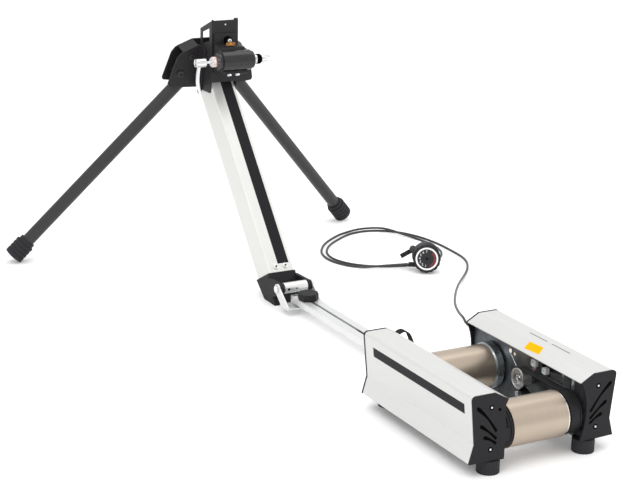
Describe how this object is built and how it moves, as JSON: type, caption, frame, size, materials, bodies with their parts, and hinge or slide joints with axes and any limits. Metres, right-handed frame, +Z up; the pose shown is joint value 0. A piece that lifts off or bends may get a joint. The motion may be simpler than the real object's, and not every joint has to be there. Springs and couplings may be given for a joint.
{
  "type": "fork mount roller trainer",
  "caption": "Indoor bicycle trainer: twin rollers between two covers, a telescoping rail, a folding mast with legs that holds the fork, and a wired resistance dial.",
  "frame": {"origin": "on the floor, under the middle of the box round everything but the free cable", "axes": "+X to the rider's right, +Y forward along the rail from the rollers to the fork stand, +Z up from the floor"},
  "size_m": [0.8506, 1.2734, 0.4865],
  "materials": {
    "aluminium": "satin",
    "black_plastic": "moulded, matte",
    "rubber": "matte",
    "zinc": "zinc plated, satin",
    "black_metal": "powder coat, satin",
    "steel": "polished",
    "webbing": "woven",
    "bronze": "anodised, satin"
  },
  "bodies": {
    "base": {"left_cover": "aluminium", "right_cover": "aluminium", "left_rear_end_plate": "black_plastic", "right_rear_end_plate": "black_plastic", "left_front_end_plate": "black_plastic", "right_front_end_plate": "black_plastic", "front_left_foot": "rubber", "front_right_foot": "rubber", "left_side_plate": "zinc", "right_side_plate": "zinc", "front_crossbeam": "aluminium", "middle_crossbeam": "black_metal", "front_axle": "steel", "rear_axle": "steel", "drive_belt": "rubber", "rotor_bearing": "zinc", "rail": "aluminium", "rail_mount": "black_metal", "webbing_loop": "webbing", "remote_body": "black_plastic", "remote_clamp": "black_plastic", "cable_gland": "black_plastic", "remote_cable": "rubber"},
    "front_roller_group": {"front_roller": "bronze", "flywheel_ring": "zinc", "front_left_bearing": "steel", "front_right_bearing": "steel"},
    "rear_roller_group": {"rear_roller": "bronze", "rear_pulley": "black_plastic", "rear_left_bearing": "steel", "rear_right_bearing": "steel"},
    "rotor_group": {"rotor_pulley": "steel", "rotor_shaft": "steel", "rotor_disc": "aluminium"},
    "magnet_group": {"magnet_carrier": "zinc", "magnet_segment": "black_metal", "carrier_hub": "aluminium"},
    "dial_group": {"remote_dial": "black_plastic"},
    "left_foot_group": {"rear_left_foot": "rubber"},
    "right_foot_group": {"rear_right_foot": "rubber"},
    "knob_group": {"clamp_knob": "black_plastic"},
    "tongue_group": {"tongue": "zinc", "hinge_bracket": "aluminium", "hinge_pin": "steel", "hinge_barrel": "steel"},
    "mast_group": {"foot_block": "black_plastic", "mast": "aluminium", "head_channel": "black_metal", "hub_cradle": "black_metal", "hub_barrel": "black_metal", "hub_axle": "steel", "skewer": "steel", "leg_bracket": "black_metal"},
    "left_leg_group": {"left_leg": "black_metal", "left_leg_cap": "rubber"},
    "right_leg_group": {"right_leg": "black_metal", "right_leg_cap": "rubber"},
    "lever_group": {"quick_release_lever": "steel"},
    "nut_group": {"skewer_nut": "steel"}
  },
  "joints": [
    {"name": "front_roller_spin", "type": "hinge", "parent": "base", "child": "front_roller_group", "pos_m": [0, -0.39055, 0.0571], "axis": [1, 0, 0], "continuous": true},
    {"name": "rear_roller_spin", "type": "hinge", "parent": "base", "child": "rear_roller_group", "pos_m": [0, -0.59835, 0.0571], "axis": [1, 0, 0], "continuous": true},
    {"name": "rotor_spin", "type": "hinge", "parent": "base", "child": "rotor_group", "pos_m": [0, -0.49425, 0.0737], "axis": [1, 0, 0], "continuous": true},
    {"name": "dial_turn", "type": "hinge", "parent": "base", "child": "dial_group", "pos_m": [0.3389, 0.21685, 0.02628], "axis": [-0.5181, -0.8032, 0.294], "range_deg": [0, 270]},
    {"name": "magnet_swing", "type": "hinge", "parent": "base", "child": "magnet_group", "pos_m": [0, -0.57875, 0.102], "axis": [-1, 0, 0], "range_deg": [0, 17.2]},
    {"name": "left_foot_turn", "type": "hinge", "parent": "base", "child": "left_foot_group", "pos_m": [-0.084, -0.61975, 0], "axis": [0, 0, 1], "range_deg": [0, 720]},
    {"name": "right_foot_turn", "type": "hinge", "parent": "base", "child": "right_foot_group", "pos_m": [0.084, -0.61975, 0], "axis": [0, 0, 1], "range_deg": [0, 720]},
    {"name": "knob_turn", "type": "hinge", "parent": "base", "child": "knob_group", "pos_m": [0, 0.08005, 0.032], "axis": [0, 0, 1], "range_deg": [0, 360]},
    {"name": "rail_extension", "type": "slide", "parent": "base", "child": "tongue_group", "axis": [0, 1, 0], "range_m": [0, 0.16]},
    {"name": "mast_fold", "type": "hinge", "parent": "tongue_group", "child": "mast_group", "pos_m": [0, 0.13375, 0.0403], "axis": [1, 0, 0], "range_deg": [0, 100.3]},
    {"name": "left_leg_fold", "type": "hinge", "parent": "mast_group", "child": "left_leg_group", "pos_m": [-0.0375, 0.50825, 0.3819], "axis": [0, -0.9585, -0.2851], "range_deg": [0, 37.8]},
    {"name": "right_leg_fold", "type": "hinge", "parent": "mast_group", "child": "right_leg_group", "pos_m": [0.0375, 0.50825, 0.3819], "axis": [0, 0.9585, 0.2851], "range_deg": [0, 37.8]},
    {"name": "lever_open", "type": "hinge", "parent": "mast_group", "child": "lever_group", "pos_m": [-0.0735, 0.38965, 0.4158], "axis": [0, 1, 0], "range_deg": [0, 108.9]},
    {"name": "nut_turn", "type": "hinge", "parent": "mast_group", "child": "nut_group", "pos_m": [0.055, 0.38965, 0.4158], "axis": [1, 0, 0], "range_deg": [0, 720]}
  ],
  "couplings": [
    {"joint": "rotor_spin", "follows": "rear_roller_spin", "ratio": 1.9969},
    {"joint": "magnet_swing", "follows": "dial_turn", "ratio": 0.0637}
  ]
}
